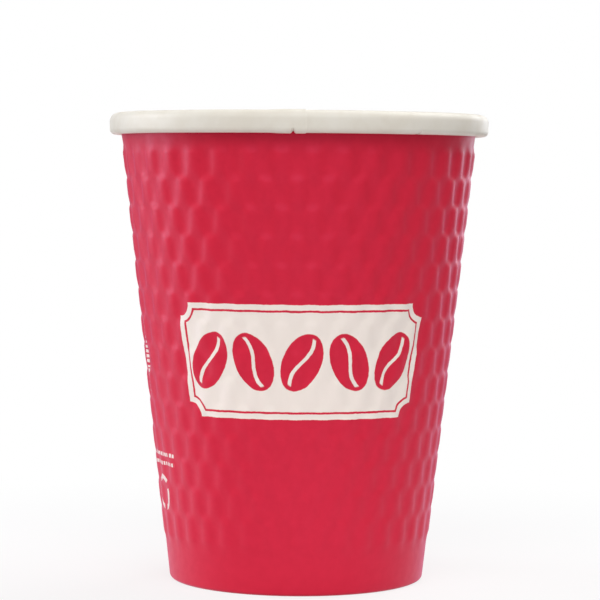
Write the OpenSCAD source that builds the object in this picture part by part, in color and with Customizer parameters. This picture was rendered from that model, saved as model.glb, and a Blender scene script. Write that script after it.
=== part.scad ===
// Double-wall paper cup for hot drinks, 12 oz size.
// Three paper blanks: a side wall rolled into the rim, a base disc folded into
// the foot, and an embossed outer sleeve that curls under the foot.
// Millimetres. The axis is Z, the table is z = 0, and the front faces -Y.

/* [Cup] */
// Height from the table to the top of the rim
cup_h = 110.4; // [90:0.2:150]
// Diameter over the rolled rim, which takes a 90 mm lid
rim_d = 90; // [84:0.5:98]
// Diameter of the outer sleeve, carried straight down to the table
foot_d = 60.1; // [54:0.1:66]
// Height of the base disc's underside above the table
base_recess = 8.5; // [8.2:0.1:14]

/* [Rolled rim] */
// Height of the roll
rim_h = 5.3; // [4.6:0.1:6.5]
// How far the roll stands out from the outer sleeve
rim_overhang = 3.55; // [3.2:0.05:4.5]
// Radius at the roll's lower outer corner, on the board's middle line
rim_corner_r = 1.1; // [0.8:0.05:1.4]
// Radius at which the board's edge tucks up inside the roll
rim_tuck_r = 0.6; // [0.45:0.05:0.8]
// How far the sleeve's top edge is tucked up behind the roll
sleeve_tuck = 0.6; // [0.2:0.1:1.2]

/* [Boards] */
// Thickness of the side wall's board
wall_board = 0.35; // [0.25:0.01:0.45]
// Thickness of the base disc's board
disc_board = 0.35; // [0.25:0.01:0.45]
// Thickness of the outer sleeve's board
sleeve_board = 0.35; // [0.25:0.01:0.5]
// Seal between the layers that are folded together at the foot
ply_gap = 0.05; // [0.03:0.01:0.12]
// Glue line between the side wall and the outer sleeve
fit_gap = 0.12; // [0.1:0.01:0.3]

/* [Seams] */
// Width of the side wall's lap, measured at the rim
wall_lap = 8; // [5:0.5:12]
// Height of the side wall's lap where it is pressed and sealed
wall_lap_step = 0.15; // [0.05:0.01:0.3]
// Turn of the side wall's free edge from the front
wall_lap_turn = 2; // [-20:0.5:20]
// Width of the outer sleeve's lap, measured at the rim
sleeve_lap = 10; // [6:0.5:14]
// Turn of the outer sleeve's free edge from the back
sleeve_lap_turn = 2.1; // [-20:0.1:20]

/* [Foot] */
// How far the side wall is folded up inside the base disc's skirt
hem_h = 5.6; // [4:0.1:6]
// Bend radius between the base disc and its skirt, on the board's middle line
disc_bend_r = 1; // [0.6:0.05:1.3]
// Width of the flat ring that the sleeve's curl stands on
foot_flat = 0.6; // [0.3:0.05:1]
// How far the curl's lip turns up inside the foot, in degrees
lip_turn = 45; // [30:5:75]

/* [Embossed relief] */
// Pads in each row round the sleeve
ribs = 36; // [24:1:40]
// Height of one row of pads
row_h = 6.5; // [5:0.1:9]
// Height over which a row passes into the next one
row_blend = 2.2; // [1.2:0.1:3]
// Plain band between the rim and the first row
top_band = 2.8; // [1.5:0.1:8]
// Least height of the plain band at the foot
foot_band = 11; // [8:0.5:20]
// How far the pads stand out at the rim
relief_top = 0.75; // [0.3:0.05:1.2]
// How far the pads stand out at the foot
relief_foot = 0.35; // [0.2:0.05:0.8]

/* [Hidden] */
$fn = 144;
board_white = "#EDE7DC";
disc_white = "#E6DFD2";
sleeve_red = "#D02C43";
// Degrees that one straight piece of an arc covers in a section
arc_step = 15;
// Degrees between the curl's rings in the sleeve
curl_step = 45;
// Half the width of the sleeve's free edge, in degrees
edge_half = 0.15;

// The sleeve's plain outer surface is a cone. Every other layer lies at a depth inside it
foot_r = foot_d / 2;
sleeve_h = cup_h - rim_h;
sleeve_top_r = rim_d / 2 - rim_overhang;
tilt = atan((sleeve_top_r - foot_r) / sleeve_h);
wall_depth = sleeve_board + fit_gap + wall_board / 2;
skirt_depth = wall_depth + wall_board / 2 + ply_gap + disc_board / 2;
hem_depth = skirt_depth + disc_board / 2 + ply_gap + wall_board / 2;

// The fold round the skirt's lower edge, with the sleeve's curl on the same centre
fold_r = (hem_depth - wall_depth) / 2;
curl_r = wall_depth + fold_r;
foot_centre = [cone_r(curl_r, curl_r), curl_r];

// The roll: one arc over the crest, a short side, and a corner under it
roll_r = rim_d / 2 - wall_lap_step - wall_board / 2;
roll_z = cup_h - wall_lap_step - wall_board / 2;
crest_r = (roll_r - cone_r(roll_z, wall_depth)) / (1 + 1 / cos(tilt) - tan(tilt));
crest_centre = [roll_r - crest_r, roll_z - crest_r];
roll_under_z = sleeve_h + wall_board / 2;
corner_centre = [roll_r - rim_corner_r, roll_under_z + rim_corner_r];
tuck_z = roll_under_z + rim_tuck_r;
tuck_clear = fit_gap + sleeve_board + wall_lap_step + wall_board / 2 + rim_tuck_r;
tuck_centre = [cone_r(tuck_z, -tuck_clear), tuck_z];

disc_z = base_recess + disc_board / 2;
disc_centre = [cone_r(disc_z - disc_bend_r, skirt_depth + disc_bend_r), disc_z - disc_bend_r];
wall_lap_deg = wall_lap / sleeve_top_r * 180 / PI;
wall_lap_z = disc_z + disc_board;

// The relief's grid: three columns to each pad, and two rings to each row
col_pitch = 360 / (3 * ribs);
rib_pitch = 360 / ribs;
pad_half = col_pitch / 2;
relief_z = sleeve_h - top_band;
rows = floor((relief_z - foot_band) / row_h);
sleeve_lap_deg = sleeve_lap / sleeve_top_r * 180 / PI;
columns = 3 * ribs + 2;

// Radius at height z of the cone that lies at this depth inside the sleeve's surface
function cone_r(z, depth) = foot_r + z * tan(tilt) - depth / cos(tilt);

function reversed(path) = [for (i = [len(path) - 1:-1:0]) path[i]];

function arc(centre, r, from, to, step = arc_step) =
    let (n = ceil(abs(to - from) / step))
    [for (i = [0:n]) let (a = from + (to - from) * i / n) centre + r * [cos(a), sin(a)]];

// The side wall's line from the hem's edge, round the fold and up to the rim.
// d moves it towards the face that holds the drink
function fold_line(d) = concat(
    [[cone_r(foot_centre.y + hem_h, hem_depth - d), foot_centre.y + hem_h]],
    arc(foot_centre, fold_r - d, 180 - tilt, 360 - tilt));

function roll_line(d) = concat(
    arc(crest_centre, crest_r + d, 180 - tilt, 0),
    arc(corner_centre, rim_corner_r + d, 0, -90),
    arc(tuck_centre, rim_tuck_r + d, -90, -180));

module cup_wall() {
    half = wall_board / 2;
    color(board_white) {
        rotate_extrude()
            polygon(concat(
                fold_line(half), roll_line(half),
                reversed(roll_line(-half)), reversed(fold_line(-half))));
        rotate([0, 0, wall_lap_turn - 90 - wall_lap_deg])
            rotate_extrude(angle = wall_lap_deg)
                polygon(concat(
                    [[cone_r(wall_lap_z, wall_depth + half + wall_lap_step), wall_lap_z]],
                    roll_line(half + wall_lap_step),
                    reversed(roll_line(0)),
                    [[cone_r(wall_lap_z, wall_depth), wall_lap_z]]));
    }
}

// The base disc's line past its bend and down the skirt
function skirt_line(d) = concat(
    arc(disc_centre, disc_bend_r + d, 90, -tilt),
    [[cone_r(foot_centre.y, skirt_depth - d), foot_centre.y]]);

module base_disc() {
    half = disc_board / 2;
    color(disc_white)
        rotate_extrude()
            polygon(concat(
                [[0, disc_z + half]], skirt_line(half),
                reversed(skirt_line(-half)), [[0, disc_z - half]]));
}

// Height of the relief at an angle from the free edge, from 0 in a groove to 1 on a pad.
// turn is 0 or 1, and moves a row on by half a pad
function pad(a, turn) =
    let (centre = (3 / 4 + 3 * turn / 2) * col_pitch)
    let (off = (a - centre + 360 + rib_pitch / 2) % rib_pitch - rib_pitch / 2)
    min(1, (rib_pitch / 2 - abs(off)) / (rib_pitch / 2 - pad_half));

function relief_depth(z) = relief_foot + (relief_top - relief_foot) * z / sleeve_h;

// The lap lies a board's thickness high, and fades out over one column
function lap_rise(a) = sleeve_board * min(1, max(0, (sleeve_lap_deg - a) / col_pitch + 1));

function column_angles(turn) = concat(
    [edge_half],
    [for (j = [0:columns - 3]) (j + 1 / 4 + turn / 2) * col_pitch],
    [360 - edge_half]);

// A ring is [radius, height, relief, turn, share of the lap]
function outer_ring(z, relief, turn) = [cone_r(z, 0), z, relief, turn, 1];

function curl_rings(r, lap) = concat(
    [for (p = arc([0, 0], r, -tilt, -90, curl_step))
        [foot_centre.x + p.x, foot_centre.y + p.y, 0, 0, lap * p.x / r]],
    [for (p = arc([0, 0], r, -90, -90 - lip_turn, curl_step))
        [foot_centre.x - foot_flat + p.x, foot_centre.y + p.y, 0, 0, 0]]);

function relief_rings() = [for (i = [0:rows - 1], end = [0, 1])
    let (z = relief_z - i * row_h - (end == 0 ? row_blend / 2 : row_h - row_blend / 2))
    outer_ring(z, relief_depth(z), i % 2)];

sleeve_rings = concat(
    [outer_ring(sleeve_h + sleeve_tuck, 0, 0), outer_ring(relief_z, 0, 0)],
    relief_rings(),
    [outer_ring(relief_z - rows * row_h, 0, 0)],
    curl_rings(curl_r, 1),
    reversed(curl_rings(curl_r - sleeve_board, 0)),
    [[cone_r(sleeve_h + sleeve_tuck, sleeve_board), sleeve_h + sleeve_tuck, 0, 0, 0]]);

function ring_points(ring) = [for (a = column_angles(ring[3]))
    let (r = ring[0] + ring[2] * pad(a, ring[3]) + ring[4] * lap_rise(a))
    let (turned = a + 180 + sleeve_lap_turn)
    [r * sin(turned), -r * cos(turned), ring[1]]];

// Two triangles between neighbouring rings and columns, split along the shorter diagonal
function grid_faces(i, j) =
    let (k = (i + 1) % len(sleeve_rings), m = (j + 1) % columns)
    let (a = i * columns + j, b = i * columns + m, c = k * columns + m, d = k * columns + j)
    sleeve_rings[k][3] > sleeve_rings[i][3] ? [[a, b, d], [b, c, d]] : [[a, b, c], [a, c, d]];

module outer_sleeve() {
    color(sleeve_red)
        polyhedron(
            points = [for (ring = sleeve_rings) each ring_points(ring)],
            faces = [for (i = [0:len(sleeve_rings) - 1], j = [0:columns - 1]) each grid_faces(i, j)]);
}

cup_wall();
base_disc();
outer_sleeve();
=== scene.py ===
import bmesh
import bpy
import math
from mathutils import Matrix, Vector, noise


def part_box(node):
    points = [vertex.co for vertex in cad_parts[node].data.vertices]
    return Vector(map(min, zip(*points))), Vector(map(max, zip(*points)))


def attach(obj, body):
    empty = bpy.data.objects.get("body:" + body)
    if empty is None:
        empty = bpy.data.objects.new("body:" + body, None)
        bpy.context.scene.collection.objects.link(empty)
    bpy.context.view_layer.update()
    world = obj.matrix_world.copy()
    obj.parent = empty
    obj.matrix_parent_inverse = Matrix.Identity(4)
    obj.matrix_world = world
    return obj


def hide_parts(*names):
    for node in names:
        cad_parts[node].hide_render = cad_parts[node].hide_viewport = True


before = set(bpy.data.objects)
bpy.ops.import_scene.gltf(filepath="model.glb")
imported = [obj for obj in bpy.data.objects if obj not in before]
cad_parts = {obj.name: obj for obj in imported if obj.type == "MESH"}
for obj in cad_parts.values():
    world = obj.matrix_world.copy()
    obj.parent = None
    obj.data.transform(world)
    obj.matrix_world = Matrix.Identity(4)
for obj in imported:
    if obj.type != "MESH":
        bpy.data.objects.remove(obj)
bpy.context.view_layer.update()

print("frame loaded:", sorted(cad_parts))

mm = 0.001  # the scene is in metres
wallLow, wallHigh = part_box("cup_wall")
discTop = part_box("base_disc")[1].z
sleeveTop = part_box("outer_sleeve")[1].z


# sizes of the whole cup and its boards

cup = {
    "height": wallHigh.z,
    "rimRadius": max(wallHigh.x, -wallLow.y),
    "footRadius": 30.05 * mm,  # of the sleeve's cone, at the table
    "rimOverhang": 3.55 * mm,  # from the sleeve out to the roll's side
    "rollHeight": 5.3 * mm,
    "wallBoard": 0.35 * mm,
    "discBoard": 0.35 * mm,
    "sleeveBoard": 0.35 * mm,
    "seal": 0.05 * mm,  # between the plies folded together at the foot
    "glue": 0.12 * mm,  # between wall and sleeve
}
rollUnder = cup["height"] - cup["rollHeight"]
tilt = math.atan((cup["rimRadius"] - cup["rimOverhang"] - cup["footRadius"]) / rollUnder)
wallDepth = cup["sleeveBoard"] + cup["glue"] + cup["wallBoard"] / 2
skirtDepth = wallDepth + cup["wallBoard"] / 2 + cup["seal"] + cup["discBoard"] / 2
hemDepth = skirtDepth + cup["discBoard"] / 2 + cup["seal"] + cup["wallBoard"] / 2
foldRadius = (hemDepth - wallDepth) / 2
curlRadius = wallDepth + foldRadius  # the sleeve's curl has the fold's centre


def coneRadius(z, depth=0.0):  # radius at height z, this deep inside the sleeve's plain surface
    return cup["footRadius"] + z * math.tan(tilt) - depth / math.cos(tilt)


foldCentre = (coneRadius(curlRadius, curlRadius), curlRadius)


# small helpers for node trees

def place(tree, kind, **settings):
    node = tree.nodes.new(kind)
    node.location.x = 170 * len(tree.nodes)
    for name, value in settings.items():
        setattr(node, name, value)
    return node


def feed(tree, socket, value):  # a link for a socket, a plain number or colour otherwise
    if isinstance(value, bpy.types.NodeSocket):
        tree.links.new(value, socket)
    else:
        socket.default_value = value


def calc(tree, operation, *values):
    node = place(tree, "ShaderNodeMath", operation=operation)
    for socket, value in zip(node.inputs, values):
        feed(tree, socket, value)
    return node.outputs[0]


def minus(tree, first, second):
    return calc(tree, "SUBTRACT", first, second)


def absolute(tree, value):
    return calc(tree, "ABSOLUTE", value)


def addUp(tree, *values):
    total = values[0]
    for value in values[1:]:
        total = calc(tree, "ADD", total, value)
    return total


def multiply(tree, *values):
    total = values[0]
    for value in values[1:]:
        total = calc(tree, "MULTIPLY", total, value)
    return total


def ramp(tree, value, fromLow, fromHigh, toLow=0.0, toHigh=1.0, smooth=True):
    node = place(tree, "ShaderNodeMapRange", interpolation_type="SMOOTHSTEP" if smooth else "LINEAR")
    for name, number in (("Value", value), ("From Min", fromLow), ("From Max", fromHigh),
                         ("To Min", toLow), ("To Max", toHigh)):
        feed(tree, node.inputs[name], number)
    return node.outputs["Result"]


def joinXyz(tree, x, y, z):
    node = place(tree, "ShaderNodeCombineXYZ")
    for socket, value in zip(node.inputs, (x, y, z)):
        feed(tree, socket, value)
    return node.outputs[0]


def splitXyz(tree, vector):
    node = place(tree, "ShaderNodeSeparateXYZ")
    tree.links.new(vector, node.inputs[0])
    return node.outputs


def noiseField(tree, vector, scale, detail=2.0, roughness=0.5):
    node = place(tree, "ShaderNodeTexNoise")
    for name, value in (("Vector", vector), ("Scale", scale), ("Detail", detail), ("Roughness", roughness)):
        feed(tree, node.inputs[name], value)
    return node.outputs[0]


def mixColour(tree, factor, first, second):
    node = place(tree, "ShaderNodeMix", data_type="RGBA")
    for name, value in (("Factor_Float", factor), ("A_Color", first), ("B_Color", second)):
        feed(tree, next(s for s in node.inputs if s.identifier == name), value)
    return next(s for s in node.outputs if s.identifier == "Result_Color")


def newGroup(name, kind, inputs, outputs):
    tree = bpy.data.node_groups.new(name, kind)
    for label, socketType, default in inputs:
        socket = tree.interface.new_socket(name=label, in_out="INPUT", socket_type=socketType)
        if default is not None:
            socket.default_value = default
    for label, socketType in outputs:
        tree.interface.new_socket(name=label, in_out="OUTPUT", socket_type=socketType)
    return tree, place(tree, "NodeGroupInput").outputs, place(tree, "NodeGroupOutput").inputs


# shader group that every board uses

fibre = {
    "bendScale": 400.0,
    "bend": 0.8 * mm,  # how far the fibres wander aside
    "detail": 3.0,
    "fineRoughness": 0.65,
    "cloudRoughness": 0.55,
    "fineShare": 0.7,
    "cloudShare": 0.3,
    "depth": 0.05 * mm,
    "cloudRange": (0.3, 0.7),  # the cloud's values, from all dark to all light
}


def makeFibreGroup():  # the board's fibres and its cloudy formation
    tree, given, result = newGroup(
        "boardFibre", "ShaderNodeTree",
        [("Vector", "NodeSocketVector", None), ("Fibre Scale", "NodeSocketFloat", 1500.0),
         ("Cloud Scale", "NodeSocketFloat", 160.0)],
        [("Height", "NodeSocketFloat"), ("Cloud", "NodeSocketFloat")])
    wander = place(tree, "ShaderNodeTexNoise")
    tree.links.new(given["Vector"], wander.inputs["Vector"])
    wander.inputs["Scale"].default_value = fibre["bendScale"]
    bend = place(tree, "ShaderNodeVectorMath", operation="MULTIPLY_ADD")
    tree.links.new(wander.outputs["Color"], bend.inputs[0])
    bend.inputs[1].default_value = (fibre["bend"],) * 3
    tree.links.new(given["Vector"], bend.inputs[2])
    detail = fibre["detail"]
    fine = noiseField(tree, bend.outputs[0], given["Fibre Scale"], detail, fibre["fineRoughness"])
    cloud = noiseField(tree, given["Vector"], given["Cloud Scale"], detail, fibre["cloudRoughness"])
    height = addUp(tree, multiply(tree, fine, fibre["fineShare"]), multiply(tree, cloud, fibre["cloudShare"]))
    tree.links.new(height, result["Height"])
    tree.links.new(cloud, result["Cloud"])
    return tree


fibreGroup = makeFibreGroup()


def newMaterial(name):
    material = bpy.data.materials.new(name)
    material.use_nodes = True
    tree = material.node_tree
    return material, tree, tree.nodes["Principled BSDF"]


def addFibre(tree, shader, vector, fibreScale, cloudScale, strength):
    group = place(tree, "ShaderNodeGroup", node_tree=fibreGroup)
    feed(tree, group.inputs["Vector"], vector)
    group.inputs["Fibre Scale"].default_value = fibreScale
    group.inputs["Cloud Scale"].default_value = cloudScale
    bump = place(tree, "ShaderNodeBump")
    bump.inputs["Strength"].default_value = strength
    bump.inputs["Distance"].default_value = fibre["depth"]
    tree.links.new(group.outputs["Height"], bump.inputs["Height"])
    tree.links.new(bump.outputs["Normal"], shader.inputs["Normal"])
    return group.outputs["Cloud"]


# white board of the inner cup and the base, and the bare board of the sleeve

boardLooks = {
    "innerBoard": {
        "light": (0.80, 0.76, 0.68, 1),
        "dark": (0.76, 0.71, 0.62, 1),
        "roughness": 0.42,
        "bump": 0.25,
    },
    "baseBoard": {
        "light": (0.83, 0.78, 0.70, 1),
        "dark": (0.76, 0.71, 0.62, 1),
        "roughness": 0.5,
        "bump": 0.5,
    },
    "cutBoard": {  # the sleeve's bare inner face and edges
        "light": (0.80, 0.75, 0.66, 1),
        "dark": (0.70, 0.63, 0.53, 1),
        "roughness": 0.8,
        "bump": 1.0,
    },
}
boardGrain = {
    "fibreScale": 1500.0,
    "cloudScale": 180.0,
    "roughnessSpread": 0.06,
    "ior": 1.48,
}


def makeBoard(name):
    look = boardLooks[name]
    material, tree, shader = newMaterial(name)
    where = place(tree, "ShaderNodeTexCoord").outputs["Object"]
    cloud = addFibre(tree, shader, where, boardGrain["fibreScale"], boardGrain["cloudScale"], look["bump"])
    shade = ramp(tree, cloud, *fibre["cloudRange"])
    tree.links.new(mixColour(tree, shade, look["dark"], look["light"]), shader.inputs["Base Color"])
    spread = boardGrain["roughnessSpread"]
    dull = ramp(tree, cloud, *fibre["cloudRange"], look["roughness"] + spread, look["roughness"] - spread)
    tree.links.new(dull, shader.inputs["Roughness"])
    shader.inputs["IOR"].default_value = boardGrain["ior"]
    return material


innerBoard = makeBoard("innerBoard")
baseBoard = makeBoard("baseBoard")
cutBoard = makeBoard("cutBoard")
print("boards ready")


# red print on the sleeve: a cream panel with beans, and small plain marks beside it

printLook = {
    "red": (0.665, 0.0165, 0.040, 1),
    "deepRed": (0.640, 0.0150, 0.037, 1),
    "cream": (0.905, 0.825, 0.750, 1),
    "fibreScale": 1300.0,
    "cloudScale": 480.0,
    "bump": 0.22,
    "roughness": (0.50, 0.44),
    "ior": 1.5,
    "specular": 0.36,
    "specularTint": (0.85, 0.5, 1.0, 1),
    "sheen": 0.18,
    "sheenRoughness": 0.4,
    "sheenTint": (0.8, 0.45, 1.0, 1),
    "wrapRadius": 36.0,  # the wrap attribute is in mm round a cylinder of this radius
    "wobble": 0.24,  # how far the printed edges waver, in the same mm as all sizes below
    "wobbleScale": 0.9,
    "panelCentre": (1.1, 54.0),
    "panelHalf": (29.2, 13.0),
    "panelFlare": 0.073,  # how much half the width grows with height
    "cornerNotch": 3.2,
    "lineInset": 1.5,
    "lineWidth": 0.5,
    "beans": 5,  # an odd number, with one in the middle
    "beanPitch": 11.0,
    "beanHalf": (4.3, 6.9),
    "beanTilt": 24.0,  # degrees
    "beanCrease": 0.42,  # half the crease's width
    "creaseWave": 0.9,
    "creaseEnd": 0.86,  # share of the bean's length that the crease takes
    "creaseFade": 0.03,
    "inkEdge": 0.07,
    "ringCentre": (-45.0, 21.5),
    "ringRadius": 3.7,
    "ringWidth": 0.62,  # half of it
    "ringGap": (-0.80, -0.70),  # cosine of three times the turn, where the gaps begin and end
    "dashes": [  # centre, half the size, pitch, and whether the row stands upright
        ((-48.5, 53.5), (0.9, 8.5), 1.15, True),
        ((-44.0, 30.6), (7.6, 0.42), 1.5, False),
        ((-44.0, 28.5), (7.6, 0.42), 1.3, False),
    ],
    "dashShare": 0.12,  # least share of the pitch that a bar takes
    "dashWander": 1.3,  # how fast the bars' lengths change along the row
    "markEdge": 0.08,
    "barEdge": 0.06,
    "markShare": 0.9,  # of the panel's cream in the small marks
}


def length2(tree, x, y):  # of a vector in the plane
    return calc(tree, "SQRT", addUp(tree, multiply(tree, x, x), multiply(tree, y, y)))


def inside(tree, distance, blur):  # 1 where a signed distance is below zero
    return ramp(tree, distance, -blur, blur, 1.0, 0.0)


def boxDistance(tree, x, y, centre, half):
    across = minus(tree, absolute(tree, minus(tree, x, centre[0])), half[0])
    upright = minus(tree, absolute(tree, minus(tree, y, centre[1])), half[1])
    return across, upright, calc(tree, "MAXIMUM", across, upright)


def panelMask(tree, x, y):
    look = printLook
    flare = multiply(tree, minus(tree, y, look["panelCentre"][1]), look["panelFlare"])
    half = (addUp(tree, flare, look["panelHalf"][0]), look["panelHalf"][1])
    across, upright, box = boxDistance(tree, x, y, look["panelCentre"], half)
    corner = minus(tree, look["cornerNotch"], length2(tree, across, upright))
    edge = calc(tree, "MAXIMUM", box, corner)
    line = minus(tree, absolute(tree, addUp(tree, edge, look["lineInset"])), look["lineWidth"] / 2)
    panel = inside(tree, edge, look["inkEdge"])
    return multiply(tree, panel, minus(tree, 1.0, inside(tree, line, look["inkEdge"])))


def beanMask(tree, x, y):  # a row of beans, leaning left and right in turn
    look = printLook
    along = minus(tree, x, look["panelCentre"][0])
    upward = minus(tree, y, look["panelCentre"][1])
    count = calc(tree, "ROUND", calc(tree, "DIVIDE", along, look["beanPitch"]))
    lean = calc(tree, "COSINE", multiply(tree, count, math.pi))
    local = minus(tree, along, multiply(tree, count, look["beanPitch"]))
    turnSin = multiply(tree, lean, math.sin(math.radians(look["beanTilt"])))
    turnCos = math.cos(math.radians(look["beanTilt"]))
    across = minus(tree, multiply(tree, local, turnCos), multiply(tree, upward, turnSin))
    upright = addUp(tree, multiply(tree, local, turnSin), multiply(tree, upward, turnCos))
    halfX, halfY = look["beanHalf"]
    reach = length2(tree, calc(tree, "DIVIDE", across, halfX), calc(tree, "DIVIDE", upright, halfY))
    bean = inside(tree, multiply(tree, minus(tree, reach, 1.0), halfX), look["inkEdge"])
    wave = multiply(tree, calc(tree, "SINE", multiply(tree, upright, math.pi / halfY)), look["creaseWave"])
    crease = minus(tree, absolute(tree, minus(tree, across, wave)), look["beanCrease"])
    creaseEnd = inside(tree, minus(tree, reach, look["creaseEnd"]), look["creaseFade"])
    creaseMask = multiply(tree, inside(tree, crease, look["inkEdge"]), creaseEnd)
    inRow = inside(tree, minus(tree, absolute(tree, count), look["beans"] / 2), 0.1)
    return multiply(tree, bean, inRow, minus(tree, 1.0, creaseMask))


def dashMask(tree, x, y, centre, half, pitch, upright):  # a row of short bars of uneven length
    look = printLook
    run = y if upright else x
    box = boxDistance(tree, x, y, centre, half)[2]
    beat = calc(tree, "FRACT", calc(tree, "DIVIDE", run, pitch))
    at = joinXyz(tree, multiply(tree, run, 1.0 / pitch), centre[1], 0.0)
    wander = noiseField(tree, at, look["dashWander"], 0.0)
    bar = minus(tree, beat, addUp(tree, wander, look["dashShare"]))
    return multiply(tree, inside(tree, box, look["markEdge"]), inside(tree, bar, look["barEdge"]))


def ringMask(tree, x, y):  # three rounded bars in a ring
    look = printLook
    across = minus(tree, x, look["ringCentre"][0])
    upright = minus(tree, y, look["ringCentre"][1])
    fromRing = minus(tree, length2(tree, across, upright), look["ringRadius"])
    band = minus(tree, absolute(tree, fromRing), look["ringWidth"])
    turn = calc(tree, "COSINE", multiply(tree, calc(tree, "ARCTAN2", across, upright), 3.0))
    return multiply(tree, inside(tree, band, look["markEdge"]), ramp(tree, turn, *look["ringGap"]))


def makeSleevePrint():
    look = printLook
    material, tree, shader = newMaterial("sleevePrint")
    wrap = place(tree, "ShaderNodeAttribute", attribute_name="wrap").outputs["Vector"]
    where = place(tree, "ShaderNodeTexCoord").outputs["Object"]
    wobble = place(tree, "ShaderNodeTexNoise")
    tree.links.new(wrap, wobble.inputs["Vector"])
    wobble.inputs["Scale"].default_value = look["wobbleScale"]
    shift = place(tree, "ShaderNodeVectorMath", operation="MULTIPLY_ADD")
    tree.links.new(wobble.outputs["Color"], shift.inputs[0])
    shift.inputs[1].default_value = (look["wobble"], look["wobble"], 0.0)
    tree.links.new(wrap, shift.inputs[2])
    x, y = splitXyz(tree, shift.outputs[0])[:2]
    panel = multiply(tree, panelMask(tree, x, y), minus(tree, 1.0, beanMask(tree, x, y)))
    cream = panel
    for mark in [ringMask(tree, x, y)] + [dashMask(tree, x, y, *dash) for dash in look["dashes"]]:
        cream = calc(tree, "MAXIMUM", cream, multiply(tree, mark, look["markShare"]))
    cloud = addFibre(tree, shader, where, look["fibreScale"], look["cloudScale"], look["bump"])
    ink = mixColour(tree, ramp(tree, cloud, *fibre["cloudRange"]), look["deepRed"], look["red"])
    tree.links.new(mixColour(tree, cream, ink, look["cream"]), shader.inputs["Base Color"])
    tree.links.new(ramp(tree, cloud, *fibre["cloudRange"], *look["roughness"]), shader.inputs["Roughness"])
    shader.inputs["IOR"].default_value = look["ior"]
    shader.inputs["Specular IOR Level"].default_value = look["specular"]
    shader.inputs["Specular Tint"].default_value = look["specularTint"]
    shader.inputs["Sheen Weight"].default_value = look["sheen"]
    shader.inputs["Sheen Roughness"].default_value = look["sheenRoughness"]
    shader.inputs["Sheen Tint"].default_value = look["sheenTint"]
    return material


sleevePrint = makeSleevePrint()
print("print ready")


# embossed sleeve: a flat blank, wrapped, curled at the foot and embossed by geometry nodes

sleeve = {
    "ribs": 36,
    "rows": 14,
    "rowHeight": 6.5 * mm,
    "rowBlend": 2.2 * mm,
    "topBand": 3.45 * mm,
    "bandRing": 1.2 * mm,  # from the first row up to a ring of points in the plain band
    "reliefAtRim": 0.75 * mm,
    "reliefAtFoot": 0.36 * mm,
    "padTurn": 4.6,  # degrees from the front to the nearest pad of the first row
    "padCorner": 8.0,  # a higher number makes the rounds at the pads' edges tighter
    "padSharpness": 1.0,
    "rowSharpness": 1.75,
    "rowSkew": 0.9,  # how much steeper a pad's upper slope is than its lower one
    "unevenness": 0.06 * mm,
    "unevenScale": 55.0,
    "unevenRadius": 36.0 * mm,  # of the cylinder that the unevenness is read on
    "seed": 3.0,
    "calmFoot": (1.5 * mm, 6.0 * mm),  # heights between which the unevenness sets in
    "lap": 10.0 * mm,  # at the rim
    "lapTurn": 2.1,  # degrees of the free edge from the back
    "lapLift": 0.37 * mm,
    "lapFade": 2.2,  # the outer flap comes down over this angle, in radians times the number of ribs
    "lapFadeCut": 0.01,  # and this much sooner, in radians
    "topFlare": 0.24 * mm,  # the top edge is free, and stands off the cup a little
    "gapFlare": 0.34 * mm,  # and more on one side
    "gapTurn": -90.0,  # degrees from the front
    "gapSpread": 0.93,  # cosine of the angle to either side that it takes
    "flareRise": (-2.0 * mm, 3.0 * mm),  # from the first row, where the flare begins and is whole
    "footFlat": 0.6 * mm,
    "lipTurn": 45.0,  # degrees that the edge turns up past the flat
    "columnsPerRib": 10,
    "columnPull": 0.45,  # how strongly the columns gather on the pads' flanks
    "rowCuts": (0.0, 0.085, 0.17, 0.38, 0.62, 0.83, 0.915),
    "bandSteps": 5,
    "curlSteps": 5,
    "lipSteps": 3,
}
sleeveTopRadius = coneRadius(rollUnder)
lapAngle = sleeve["lap"] / sleeveTopRadius
lapEdge = math.radians(sleeve["lapTurn"]) - math.pi
firstRow = rollUnder - sleeve["topBand"]
lastRow = firstRow - sleeve["rows"] * sleeve["rowHeight"]
coneStart = foldCentre[1] - curlRadius * math.sin(tilt)  # height where the curl begins


def blankColumns():
    ribs = sleeve["ribs"]
    step = 2 * math.pi / (ribs * sleeve["columnsPerRib"])
    count = math.ceil((2 * math.pi + lapAngle) / step)
    flank = math.radians(sleeve["padTurn"]) + math.pi / (2 * ribs)
    angles = []
    for i in range(count + 1):
        angle = lapEdge + i * step
        pull = sleeve["columnPull"] * math.sin(2 * ribs * (angle - flank)) / (2 * ribs)
        angles.append(angle - pull)
    return angles


def blankRows():  # distances up the wall from where the curl begins, and down round it below zero
    heights = [sleeveTop, rollUnder, firstRow + sleeve["bandRing"]]
    for row in range(sleeve["rows"]):
        heights += [firstRow - (row + cut) * sleeve["rowHeight"] for cut in sleeve["rowCuts"]]
    bandSteps, curlSteps, lipSteps = sleeve["bandSteps"], sleeve["curlSteps"], sleeve["lipSteps"]
    heights += [lastRow + (coneStart - lastRow) * i / bandSteps for i in range(bandSteps + 1)]
    rows = [(z - coneStart) / math.cos(tilt) for z in heights]
    quarter = curlRadius * (math.pi / 2 - tilt)
    lip = curlRadius * math.radians(sleeve["lipTurn"])
    rows += [-quarter * i / curlSteps for i in range(1, curlSteps + 1)]
    rows += [-quarter - sleeve["footFlat"] - lip * i / lipSteps for i in range(lipSteps + 1)]
    return rows


def makeBlank():
    angles, rows = blankColumns(), blankRows()
    width = len(angles)
    points = [(angle, along, 0.0) for along in rows for angle in angles]
    faces = []
    for i in range(len(rows) - 1):
        for j in range(width - 1):
            under = angles[j + 1] > lapEdge + 2 * math.pi and rows[i + 1] < 0  # the blank's trimmed corner
            if not under:
                a = i * width + j
                faces.append((a, a + width, a + width + 1, a + 1))
    mesh = bpy.data.meshes.new("outerSleeve")
    mesh.from_pydata(points, [], faces)
    return mesh


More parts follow.
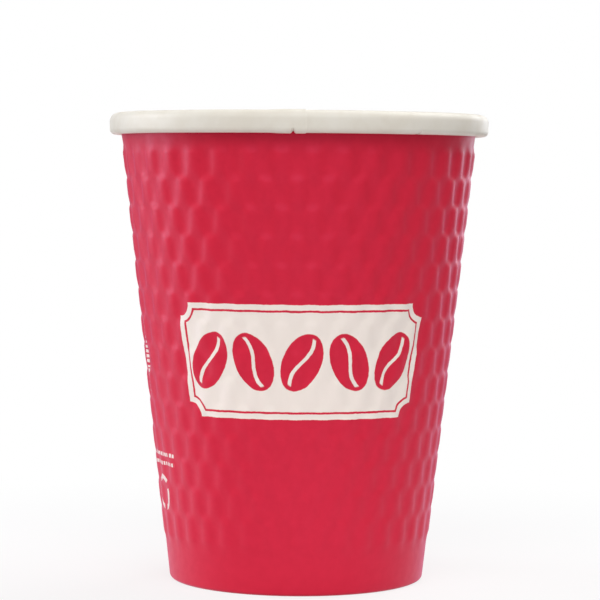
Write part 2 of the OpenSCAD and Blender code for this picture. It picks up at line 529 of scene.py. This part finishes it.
def softSquare(tree, wave, sharpness):  # flat crests at 1 and -1, straight flanks and small rounds between
    steep = multiply(tree, sharpness, wave)
    high = calc(tree, "POWER", absolute(tree, steep), sleeve["padCorner"])
    return calc(tree, "DIVIDE", steep, calc(tree, "POWER", addUp(tree, high, 1.0), 1 / sleeve["padCorner"]))


def softStep(tree, value, low, high):  # straight between low and high, with small rounds
    along = ramp(tree, value, low, high, -1.0, 1.0, smooth=False)
    return calc(tree, "MULTIPLY_ADD", calc(tree, "SINE", multiply(tree, along, math.pi / 2)), 0.5, 0.5)


def makeSleeveTree():
    number, whole = "NodeSocketFloat", "NodeSocketInt"
    tree, given, result = newGroup(
        "embossedSleeve", "GeometryNodeTree",
        [("Geometry", "NodeSocketGeometry", None), ("Ribs", whole, 36), ("Row Height", number, 0.0065),
         ("Row Blend", number, 0.0022), ("First Row", number, 0.1), ("Last Row", number, 0.01),
         ("Relief At Rim", number, 0.0007), ("Relief At Foot", number, 0.0003), ("Rim Height", number, 0.1),
         ("Pad Turn", number, 0.0), ("Pad Sharpness", number, 1.0), ("Row Sharpness", number, 1.75),
         ("Row Skew", number, 0.0), ("Unevenness", number, 0.0), ("Wall Tilt", number, 0.1),
         ("Curl Centre", number, 0.03), ("Curl Radius", number, 0.001), ("Foot Flat", number, 0.0005),
         ("Lap Edge", number, 0.0), ("Lap Angle", number, 0.2), ("Lap Lift", number, 0.0003),
         ("Top Flare", number, 0.0), ("Gap Flare", number, 0.0), ("Gap Turn", number, 0.0),
         ("Wrap Radius", number, 36.0), ("Seed", number, 0.0), ("Material", "NodeSocketMaterial", None)],
        [("Geometry", "NodeSocketGeometry")])
    angle, along = splitXyz(tree, place(tree, "GeometryNodeInputPosition").outputs[0])[:2]
    curl = given["Curl Radius"]

    # section: up the cone above zero, round the curl and across its flat below zero
    down = calc(tree, "MAXIMUM", multiply(tree, along, -1.0), 0.0)
    up = calc(tree, "MAXIMUM", along, 0.0)
    quarter = multiply(tree, curl, minus(tree, math.pi / 2, given["Wall Tilt"]))
    past = minus(tree, down, quarter)
    flat = calc(tree, "MINIMUM", calc(tree, "MAXIMUM", past, 0.0), given["Foot Flat"])
    bent = minus(tree, down, flat)
    gamma = multiply(tree, addUp(tree, given["Wall Tilt"], calc(tree, "DIVIDE", bent, curl)), -1.0)
    outward = calc(tree, "COSINE", gamma)
    upward = calc(tree, "SINE", gamma)
    coreRadius = minus(tree, given["Curl Centre"], flat)
    coreRadius = addUp(tree, coreRadius, multiply(tree, up, calc(tree, "SINE", given["Wall Tilt"])))
    coreHeight = addUp(tree, curl, multiply(tree, up, calc(tree, "COSINE", given["Wall Tilt"])))
    height = addUp(tree, coreHeight, multiply(tree, curl, upward))

    # pads: one wave round the cup and one down it, and each row is the other's opposite
    turned = multiply(tree, given["Ribs"], minus(tree, angle, given["Pad Turn"]))
    roundWave = softSquare(tree, calc(tree, "COSINE", turned), given["Pad Sharpness"])
    below = minus(tree, given["First Row"], height)
    rowTurn = multiply(tree, calc(tree, "DIVIDE", below, given["Row Height"]), math.pi)
    skew = multiply(tree, calc(tree, "COSINE", rowTurn), roundWave, given["Row Skew"])
    downWave = softSquare(tree, calc(tree, "SINE", rowTurn), addUp(tree, skew, given["Row Sharpness"]))
    halfBlend = multiply(tree, given["Row Blend"], 0.5)
    middle = multiply(tree, given["Row Height"], 0.5)
    above = minus(tree, height, given["Last Row"])
    atTop = ramp(tree, below, halfBlend, middle, 1.0, 0.0)
    atFoot = ramp(tree, above, halfBlend, middle, 1.0, 0.0)
    downWave = calc(tree, "MULTIPLY_ADD", minus(tree, 1.0, downWave), atTop, downWave)
    downWave = calc(tree, "MULTIPLY_ADD", minus(tree, -1.0, downWave), atFoot, downWave)
    pads = calc(tree, "MULTIPLY_ADD", multiply(tree, roundWave, downWave), 0.5, 0.5)
    outside = multiply(tree, halfBlend, -1.0)
    field = multiply(tree, softStep(tree, below, outside, halfBlend),
                     softStep(tree, above, outside, halfBlend))
    depth = ramp(tree, height, 0.0, given["Rim Height"], given["Relief At Foot"], given["Relief At Rim"],
                 smooth=False)
    relief = multiply(tree, pads, field, depth)

    # the outer flap lies on the inner one, then comes down beside it
    fromEdge = minus(tree, angle, given["Lap Edge"])
    fade = addUp(tree, given["Lap Angle"], calc(tree, "DIVIDE", sleeve["lapFade"], given["Ribs"]),
                 -sleeve["lapFadeCut"])
    onLap = ramp(tree, fromEdge, given["Lap Angle"], fade, 1.0, 0.0)
    lap = multiply(tree, onLap, given["Lap Lift"])

    # a slight unevenness, with none of it at the foot
    sine = calc(tree, "SINE", angle)
    cosine = calc(tree, "COSINE", angle)
    circle = sleeve["unevenRadius"]
    seeded = addUp(tree, height, given["Seed"])
    at = joinXyz(tree, multiply(tree, sine, circle), multiply(tree, cosine, circle), seeded)
    calm = ramp(tree, height, *sleeve["calmFoot"])
    uneven = multiply(tree, noiseField(tree, at, sleeve["unevenScale"], 1.0), given["Unevenness"], calm)

    # the free top edge stands off the cup, but not where the flaps are glued
    gap = calc(tree, "COSINE", minus(tree, angle, given["Gap Turn"]))
    gapFlare = multiply(tree, ramp(tree, gap, sleeve["gapSpread"], 1.0), given["Gap Flare"])
    openEdge = multiply(tree, addUp(tree, given["Top Flare"], gapFlare), minus(tree, 1.0, onLap))
    aboveRow = minus(tree, height, given["First Row"])
    flare = multiply(tree, openEdge, ramp(tree, aboveRow, *sleeve["flareRise"]))

    lift = multiply(tree, addUp(tree, relief, lap, flare, uneven), outward, outward)
    offset = addUp(tree, curl, lift)
    radius = addUp(tree, coreRadius, multiply(tree, offset, outward))
    level = addUp(tree, coreHeight, multiply(tree, offset, upward))
    toBack = multiply(tree, cosine, -1.0)
    wrapped = joinXyz(tree, multiply(tree, radius, sine), multiply(tree, radius, toBack), level)

    store = place(tree, "GeometryNodeStoreNamedAttribute", data_type="FLOAT_VECTOR", domain="POINT")
    store.inputs["Name"].default_value = "wrap"
    tree.links.new(given["Geometry"], store.inputs["Geometry"])
    wrap = joinXyz(tree, multiply(tree, angle, given["Wrap Radius"]), multiply(tree, height, 1 / mm), 0.0)
    tree.links.new(wrap, store.inputs["Value"])
    move = place(tree, "GeometryNodeSetPosition")
    tree.links.new(store.outputs["Geometry"], move.inputs["Geometry"])
    tree.links.new(wrapped, move.inputs["Position"])
    smooth = place(tree, "GeometryNodeSetShadeSmooth")
    tree.links.new(move.outputs["Geometry"], smooth.inputs["Geometry"])
    realize = place(tree, "GeometryNodeRealizeInstances")
    tree.links.new(smooth.outputs["Geometry"], realize.inputs["Geometry"])
    paint = place(tree, "GeometryNodeSetMaterial")
    tree.links.new(realize.outputs["Geometry"], paint.inputs["Geometry"])
    tree.links.new(given["Material"], paint.inputs["Material"])
    tree.links.new(paint.outputs["Geometry"], result["Geometry"])
    return tree


def addTree(obj, tree, values):
    modifier = obj.modifiers.new(tree.name, "NODES")
    modifier.node_group = tree
    sockets = {item.name: item.identifier for item in tree.interface.items_tree if item.in_out == "INPUT"}
    for name, value in values.items():
        modifier[sockets[name]] = value


def applyAll(obj):  # the evaluated result becomes a plain mesh
    graph = bpy.context.evaluated_depsgraph_get()
    mesh = bpy.data.meshes.new_from_object(
        obj.evaluated_get(graph), preserve_all_data_layers=True, depsgraph=graph)
    mesh.name = obj.name
    obj.modifiers.clear()
    obj.data = mesh


def newPiece(name, mesh, materials):
    obj = bpy.data.objects.new(name, mesh)
    bpy.context.scene.collection.objects.link(obj)
    for material in materials:
        mesh.materials.append(material)
    return obj


def makeSleeve():
    obj = newPiece("outerSleeve", makeBlank(), [sleevePrint, cutBoard])
    addTree(obj, makeSleeveTree(), {
        "Ribs": sleeve["ribs"], "Row Height": sleeve["rowHeight"], "Row Blend": sleeve["rowBlend"],
        "First Row": firstRow, "Last Row": lastRow, "Relief At Rim": sleeve["reliefAtRim"],
        "Relief At Foot": sleeve["reliefAtFoot"], "Rim Height": rollUnder,
        "Pad Turn": math.radians(sleeve["padTurn"]), "Pad Sharpness": sleeve["padSharpness"],
        "Row Sharpness": sleeve["rowSharpness"], "Row Skew": sleeve["rowSkew"],
        "Unevenness": sleeve["unevenness"], "Wall Tilt": tilt,
        "Curl Centre": foldCentre[0], "Curl Radius": curlRadius, "Foot Flat": sleeve["footFlat"],
        "Lap Edge": lapEdge, "Lap Angle": lapAngle, "Lap Lift": sleeve["lapLift"],
        "Top Flare": sleeve["topFlare"], "Gap Flare": sleeve["gapFlare"],
        "Gap Turn": math.radians(sleeve["gapTurn"]), "Wrap Radius": printLook["wrapRadius"],
        "Seed": sleeve["seed"], "Material": sleevePrint})
    solid = obj.modifiers.new("board", "SOLIDIFY")
    solid.thickness = cup["sleeveBoard"]
    solid.offset = -1.0
    solid.material_offset = 1
    solid.material_offset_rim = 1
    applyAll(obj)
    return obj


sleevePiece = makeSleeve()
print("sleeve ready:", len(sleevePiece.data.polygons), "faces")


# inner cup: one sheet, folded at the foot and rolled at the rim

wall = {
    "cornerRadius": 1.1 * mm,  # lower outer corner of the roll
    "tuckRadius": 0.6 * mm,  # the edge that turns up inside the roll
    "hemHeight": 5.6 * mm,
    "lap": 8.0 * mm,  # at the rim
    "lapStep": 0.15 * mm,
    "lapTurn": 2.0,  # degrees of the free edge from the front
    "lapBlur": 0.004,  # radians that the free edge's step takes
    "lapFade": 0.35,  # share of the lap over which the other end's step fades
    "lapFrom": 0.3 * mm,  # above the base disc, where the lap's step begins
    "lapRun": 0.2 * mm,
    "columns": 300,
    "seamStep": 0.12,  # degrees between columns near the seam and the nicks
    "seamColumns": 9,  # of these to either side
    "wallRings": 22,
    "arcStep": 15.0,  # degrees
    "tuckStep": 20.0,
    "rimPress": 0.6,  # how much of the lap's step is pressed flat in the roll
    "pressRise": 3.0,  # the pressing is whole at the roll's height divided by this
    "nicks": [(-1.7, 0.6 * mm), (37.6, 0.35 * mm)],  # turn and height of two nicks in the roll's lower edge
    "nickWidth": 0.32 * mm,
    "nickClear": 0.3 * mm,  # nothing this near the sleeve's plain surface is lifted
    "nickRise": 1.4,  # how soon a nick has its whole height, from the corner's top down
    "rollWave": 0.05 * mm,  # how unevenly the roll is pressed
    "waveScale": 4.0,
    "waveSeed": 1.7,
    "waveLevel": 0.6,
    "waveInward": 0.5,  # share of the wave that also goes inwards
}
mergeDistance = 0.0005 * mm
half = cup["wallBoard"] / 2
rollRadius = cup["rimRadius"] - wall["lapStep"] - half
rollTop = cup["height"] - wall["lapStep"] - half
crestRadius = (rollRadius - coneRadius(rollTop, wallDepth)) / (1 + 1 / math.cos(tilt) - math.tan(tilt))
crestCentre = (rollRadius - crestRadius, rollTop - crestRadius)
cornerCentre = (rollRadius - wall["cornerRadius"], rollUnder + half + wall["cornerRadius"])
tuckHeight = rollUnder + half + wall["tuckRadius"]
tuckClear = cup["glue"] + cup["sleeveBoard"] + wall["lapStep"] + half + wall["tuckRadius"]
tuckCentre = (coneRadius(tuckHeight, -tuckClear), tuckHeight)
wallLapAngle = wall["lap"] / sleeveTopRadius


def arc(centre, radius, start, end, step=10.0):
    count = math.ceil(abs(end - start) / step)
    turns = [math.radians(start + (end - start) * i / count) for i in range(count + 1)]
    return [(centre[0] + radius * math.cos(turn), centre[1] + radius * math.sin(turn)) for turn in turns]


def between(first, last, count):
    return [(first[0] + (last[0] - first[0]) * i / count, first[1] + (last[1] - first[1]) * i / count)
            for i in range(1, count)]


def wallLine(offset, step=0.0):  # offset moves it to the drink's side; step is the lap's height there
    lean = math.degrees(tilt)
    hemTop = foldCentre[1] + wall["hemHeight"]
    hem = [(coneRadius(hemTop, hemDepth - offset), hemTop)]
    fold = arc(foldCentre, foldRadius - offset, 180 - lean, 360 - lean, wall["arcStep"])
    crest = arc(crestCentre, crestRadius + offset + step, 180 - lean, 0)
    start = discTop + wall["lapFrom"]
    full = start + wall["lapRun"]
    rise = [(coneRadius(start, wallDepth + offset), start),
            (coneRadius(full, wallDepth + offset + step), full)]
    straight = between(rise[1], crest[0], wall["wallRings"])
    corner = arc(cornerCentre, wall["cornerRadius"] + offset + step, 0, -90, wall["arcStep"])
    tuck = arc(tuckCentre, wall["tuckRadius"] + offset, -90, -180, wall["tuckStep"])
    return hem + fold + rise + straight + crest + corner + tuck


def lapShare(angle):  # sharp at the free edge, soft where the sheet passes under itself
    blur = wall["lapBlur"]
    behind = (math.radians(wall["lapTurn"]) - angle + blur) % (2 * math.pi) - blur
    fade = wall["lapFade"] * wallLapAngle
    if behind < blur:
        return 0.5 + 0.5 * math.sin(math.pi / 2 * behind / blur)
    return 1.0 if behind < wallLapAngle - fade else max(0.0, 1 - (behind - wallLapAngle + fade) / fade)


def wallColumns():
    turns = {round(360.0 * i / wall["columns"] - 180, 4) for i in range(wall["columns"])}
    for centre in [wall["lapTurn"]] + [turn for turn, _ in wall["nicks"]]:
        beside = range(-wall["seamColumns"], wall["seamColumns"] + 1)
        turns |= {round(centre + i * wall["seamStep"], 4) for i in beside}
    return [math.radians(turn) for turn in sorted(turns)]


def nickLift(angle, r, z):  # the roll's lower edge is lifted a little at each nick
    if r < coneRadius(z) + wall["nickClear"] or z > cornerCentre[1]:
        return 0.0
    share = 1 - (z - rollUnder) / (cornerCentre[1] - rollUnder)
    lift = 0.0
    for turn, height in wall["nicks"]:
        along = (angle - math.radians(turn)) * rollRadius / wall["nickWidth"]
        lift += height * math.exp(-along * along) * min(1.0, wall["nickRise"] * share)
    return lift


def revolve(name, section, angles, materials):  # section(angle) gives a closed loop of radius and height
    loops = [section(angle) for angle in angles]
    points = [(r * math.sin(a), -r * math.cos(a), z) for a, loop in zip(angles, loops) for r, z in loop]
    size, count = len(loops[0]), len(angles)
    faces = []
    for j in range(count):
        for i in range(size):
            a, b = j * size + i, j * size + (i + 1) % size
            c, d = (j + 1) % count * size + (i + 1) % size, (j + 1) % count * size + i
            faces.append((a, d, c, b))
    mesh = bpy.data.meshes.new(name)
    mesh.from_pydata(points, [], faces)
    shape = bmesh.new()
    shape.from_mesh(mesh)
    bmesh.ops.remove_doubles(shape, verts=shape.verts, dist=mergeDistance)
    bmesh.ops.recalc_face_normals(shape, faces=shape.faces)
    for face in shape.faces:
        face.smooth = True
    shape.to_mesh(mesh)
    shape.free()
    return newPiece(name, mesh, materials)


def makeWall():
    def section(angle):
        step = wall["lapStep"] * lapShare(angle)
        scale = wall["waveScale"]
        at = Vector((math.sin(angle) * scale, math.cos(angle) * scale, wall["waveSeed"]))
        dent = max(0.0, noise.noise(at) + wall["waveLevel"]) * wall["rollWave"]
        placed = []
        for r, z in wallLine(half, step) + wallLine(-half)[::-1]:
            share = min(1.0, max(0.0, (z - rollUnder) / cup["rollHeight"]))
            sink = dent * share
            pressed = step * wall["rimPress"] * min(1.0, wall["pressRise"] * share)
            press = pressed if r > crestCentre[0] else 0.0
            placed.append((r - wall["waveInward"] * sink - press, z - sink + nickLift(angle, r, z)))
        return placed

    return revolve("cupWall", section, wallColumns(), [innerBoard])


wallPiece = makeWall()
print("inner cup ready:", len(wallPiece.data.polygons), "faces")


# base disc with its skirt

disc = {
    "bendRadius": 1.0 * mm,
    "sag": 0.12 * mm,
    "columns": 240,
    "rings": 8,
    "bendStep": 12.0,  # degrees
}
discMiddle = discTop - cup["discBoard"] / 2
discCentre = (coneRadius(discMiddle - disc["bendRadius"], skirtDepth + disc["bendRadius"]),
              discMiddle - disc["bendRadius"])


def makeDisc():
    halfDisc = cup["discBoard"] / 2

    def line(offset):
        flat = []
        for i in range(disc["rings"]):
            share = i / disc["rings"]
            sag = disc["sag"] * math.cos(math.pi / 2 * share) ** 2
            flat.append((discCentre[0] * share, discMiddle + offset - sag))
        bend = arc(discCentre, disc["bendRadius"] + offset, 90, -math.degrees(tilt), disc["bendStep"])
        return flat + bend + [(coneRadius(foldCentre[1], skirtDepth - offset), foldCentre[1])]

    loop = line(halfDisc) + line(-halfDisc)[::-1]
    angles = [2 * math.pi * j / disc["columns"] for j in range(disc["columns"])]
    return revolve("baseDisc", lambda angle: loop, angles, [baseBoard])


discPiece = makeDisc()
print("base ready:", len(discPiece.data.polygons), "faces")

for piece, node, slotName in ((wallPiece, "cup_wall", "inner_board"), (discPiece, "base_disc", "base_board"),
                              (sleevePiece, "outer_sleeve", "sleeve_print")):
    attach(piece, "root")
    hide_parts(node)


# floor, light and camera

studio = {
    "floorSize": 6.0,
    "floorRoughness": 0.9,
    "floorColour": (0.8, 0.8, 0.8, 1),
    "farColour": (0.12, 0.12, 0.12, 1),  # past the sheet that the cup stands on
    "farRange": (0.10, 0.40),  # distances where the sheet ends
    "whiteNear": 0.75,  # share of plain white that the camera sees in the floor beside the cup
    "whiteRange": (0.08, 0.20),  # distances from which it grows, and where it is all white
    "glossNear": (0.05, 0.14),  # a glossy surface sees the floor white up to here
    "glossBehind": (0.86, 0.98),  # and floor and sky in this narrow sector behind the cup
    "glossFrom": (0.05, 0.3),  # which sets in at these distances
    "skyStrength": 0.27,
    "frontGlow": 0.75,  # the studio in front of the cup, as its gloss shows it
    "frontSide": (-0.1, -0.7),  # how far forward and how high that part reaches
    "frontRise": (0.75, 0.35),
}
lamps = {
    "frontLight": {
        "place": (-0.05, -0.85, 0.95),
        "size": (1.5, 0.7),
        "power": 9.6,
        "colour": (1, 1, 1),
    },
    "lowLight": {
        "place": (0.0, -1.05, 0.35),
        "size": (1.2, 0.5),
        "power": 1.5,
        "colour": (1, 1, 1),
    },
    "backLight": {
        "place": (0.5, 0.35, 1.0),
        "size": (0.9, 0.9),
        "power": 6.5,
        "colour": (1, 1, 1),
    },
    "edgeLight": {  # the bright lines on the pads at the left
        "place": (-0.62, 0.14, 0.25),
        "size": (0.3, 0.5),
        "power": 2.4,
        "colour": (0.92, 0.94, 1.0),
    },
    "farEdgeLight": {  # and at the right
        "place": (0.42, 0.66, 0.2),
        "size": (0.25, 0.5),
        "power": 1.2,
        "colour": (0.92, 0.94, 1.0),
    },
}
photoView = {  # fitted to the photo's outline of rim and foot
    "place": (0.5 * mm, -0.590, 95.6 * mm),
    "lens": 148.8,
    "sensorWidth": 36.0,
    "lookDown": 2.86,  # degrees
    "roll": 0.43,
}


def whiteSeen(tree, inGloss):  # share of plain white that the camera, a glass and a glossy surface see
    rays = place(tree, "ShaderNodeLightPath").outputs
    seen = calc(tree, "MAXIMUM", rays["Is Camera Ray"], rays["Is Transmission Ray"])
    return calc(tree, "MAXIMUM", seen, multiply(tree, rays["Is Glossy Ray"], inGloss))


def makeFloor():
    size = studio["floorSize"] / 2
    mesh = bpy.data.meshes.new("floor")
    corners = [(-size, -size, 0), (size, -size, 0), (size, size, 0), (-size, size, 0)]
    mesh.from_pydata(corners, [], [(0, 1, 2, 3)])
    material, tree, shader = newMaterial("floorPaper")
    shader.inputs["Roughness"].default_value = studio["floorRoughness"]
    white = place(tree, "ShaderNodeEmission")
    mix = place(tree, "ShaderNodeMixShader")
    x, y = splitXyz(tree, place(tree, "ShaderNodeTexCoord").outputs["Object"])[:2]
    away = length2(tree, x, y)
    share = ramp(tree, away, *studio["whiteRange"], studio["whiteNear"], 1.0)
    paper = mixColour(tree, ramp(tree, away, *studio["farRange"]), studio["floorColour"], studio["farColour"])
    tree.links.new(paper, shader.inputs["Base Color"])
    sector = ramp(tree, calc(tree, "DIVIDE", y, away), *studio["glossBehind"])
    behind = multiply(tree, sector, ramp(tree, y, *studio["glossFrom"]))
    inGloss = calc(tree, "MAXIMUM", ramp(tree, away, *studio["glossNear"], 1.0, 0.0), behind)
    tree.links.new(multiply(tree, whiteSeen(tree, inGloss), share), mix.inputs[0])
    tree.links.new(shader.outputs[0], mix.inputs[1])
    tree.links.new(white.outputs[0], mix.inputs[2])
    tree.links.new(mix.outputs[0], tree.nodes["Material Output"].inputs["Surface"])
    newPiece("floor", mesh, [material])


def makeSky():
    world = bpy.data.worlds.new("studioSky")
    world.use_nodes = True
    bpy.context.scene.world = world
    tree = world.node_tree
    background = tree.nodes["Background"]
    background.inputs["Color"].default_value = (1, 1, 1, 1)
    y, z = splitXyz(tree, place(tree, "ShaderNodeTexCoord").outputs["Generated"])[1:3]
    side = ramp(tree, y, *studio["frontSide"])
    front = multiply(tree, side, ramp(tree, z, *studio["frontRise"]), studio["frontGlow"])
    inGloss = calc(tree, "MAXIMUM", front, ramp(tree, y, *studio["glossBehind"]))
    inGloss = calc(tree, "MAXIMUM", inGloss, studio["skyStrength"])
    strength = ramp(tree, whiteSeen(tree, inGloss), 0.0, 1.0, studio["skyStrength"], 1.0, smooth=False)
    tree.links.new(strength, background.inputs["Strength"])


def addLamp(name, values):  # aimed at the cup's middle
    lamp = bpy.data.lights.new(name, "AREA")
    lamp.shape = "RECTANGLE"
    lamp.size, lamp.size_y = values["size"]
    lamp.energy = values["power"]
    lamp.color = values["colour"]
    obj = bpy.data.objects.new(name, lamp)
    bpy.context.scene.collection.objects.link(obj)
    aim = Vector((0, 0, cup["height"] / 2)) - Vector(values["place"])
    obj.rotation_euler = aim.to_track_quat("-Z", "Y").to_euler()
    obj.location = values["place"]


def makeCamera():
    camera = bpy.data.cameras.new("camera")
    camera.sensor_width = photoView["sensorWidth"]
    camera.lens = photoView["lens"]
    obj = bpy.data.objects.new("camera", camera)
    bpy.context.scene.collection.objects.link(obj)
    pitch = math.radians(90 - photoView["lookDown"])
    roll = math.radians(photoView["roll"])
    turn = Matrix.Rotation(pitch, 4, "X") @ Matrix.Rotation(roll, 4, "Z")
    obj.matrix_world = Matrix.Translation(photoView["place"]) @ turn
    bpy.context.scene.camera = obj


makeFloor()
makeSky()
for name, values in lamps.items():
    addLamp(name, values)
makeCamera()
bpy.context.scene.view_settings.view_transform = "Standard"
print("studio ready")
